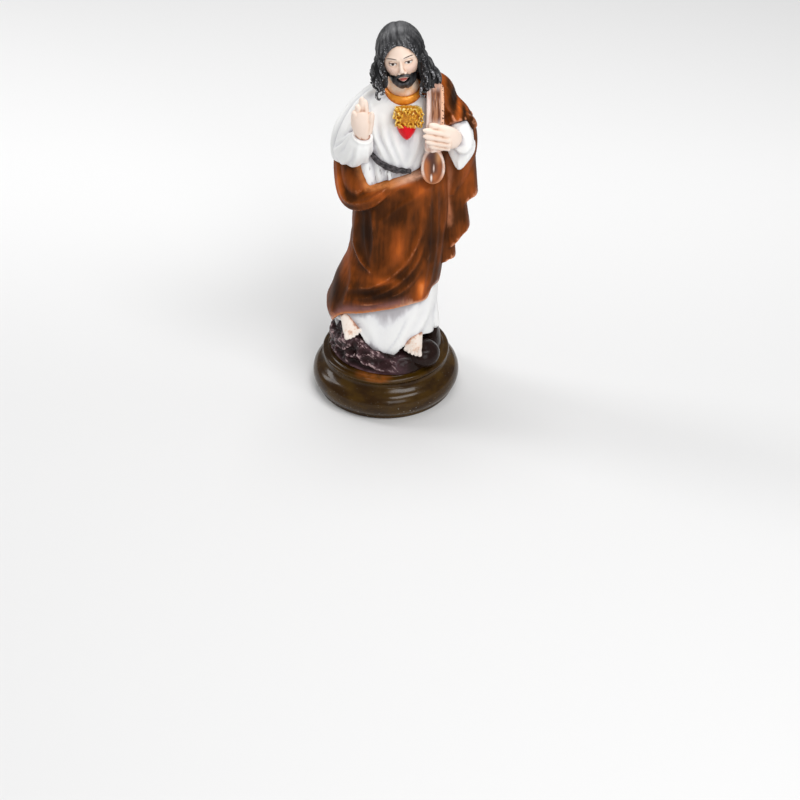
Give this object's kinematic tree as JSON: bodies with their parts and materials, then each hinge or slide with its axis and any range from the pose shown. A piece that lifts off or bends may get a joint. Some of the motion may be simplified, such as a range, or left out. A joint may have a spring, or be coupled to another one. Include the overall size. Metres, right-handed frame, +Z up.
{
  "type": "devotional statue",
  "caption": "Cast statue of a standing robed figure, one hand raised and one on the chest, on a rock mound set on a round moulded plinth.",
  "frame": {"origin": "centre of the plinth's flat underside", "axes": "+Z up along the figure, the figure faces -Y, +X towards the viewer's right"},
  "size_m": [0.1017, 0.0928, 0.2449],
  "materials": {
    "painted_figure": "glossy hand-painted resin: white robe, brown cloak, peach skin, charcoal hair, gold, red and orange details",
    "plinth_lacquer": "glossy dark olive-brown lacquer"
  },
  "bodies": {
    "root": {"figure": "painted_figure", "plinth": "plinth_lacquer"}
  },
  "joints": []
}
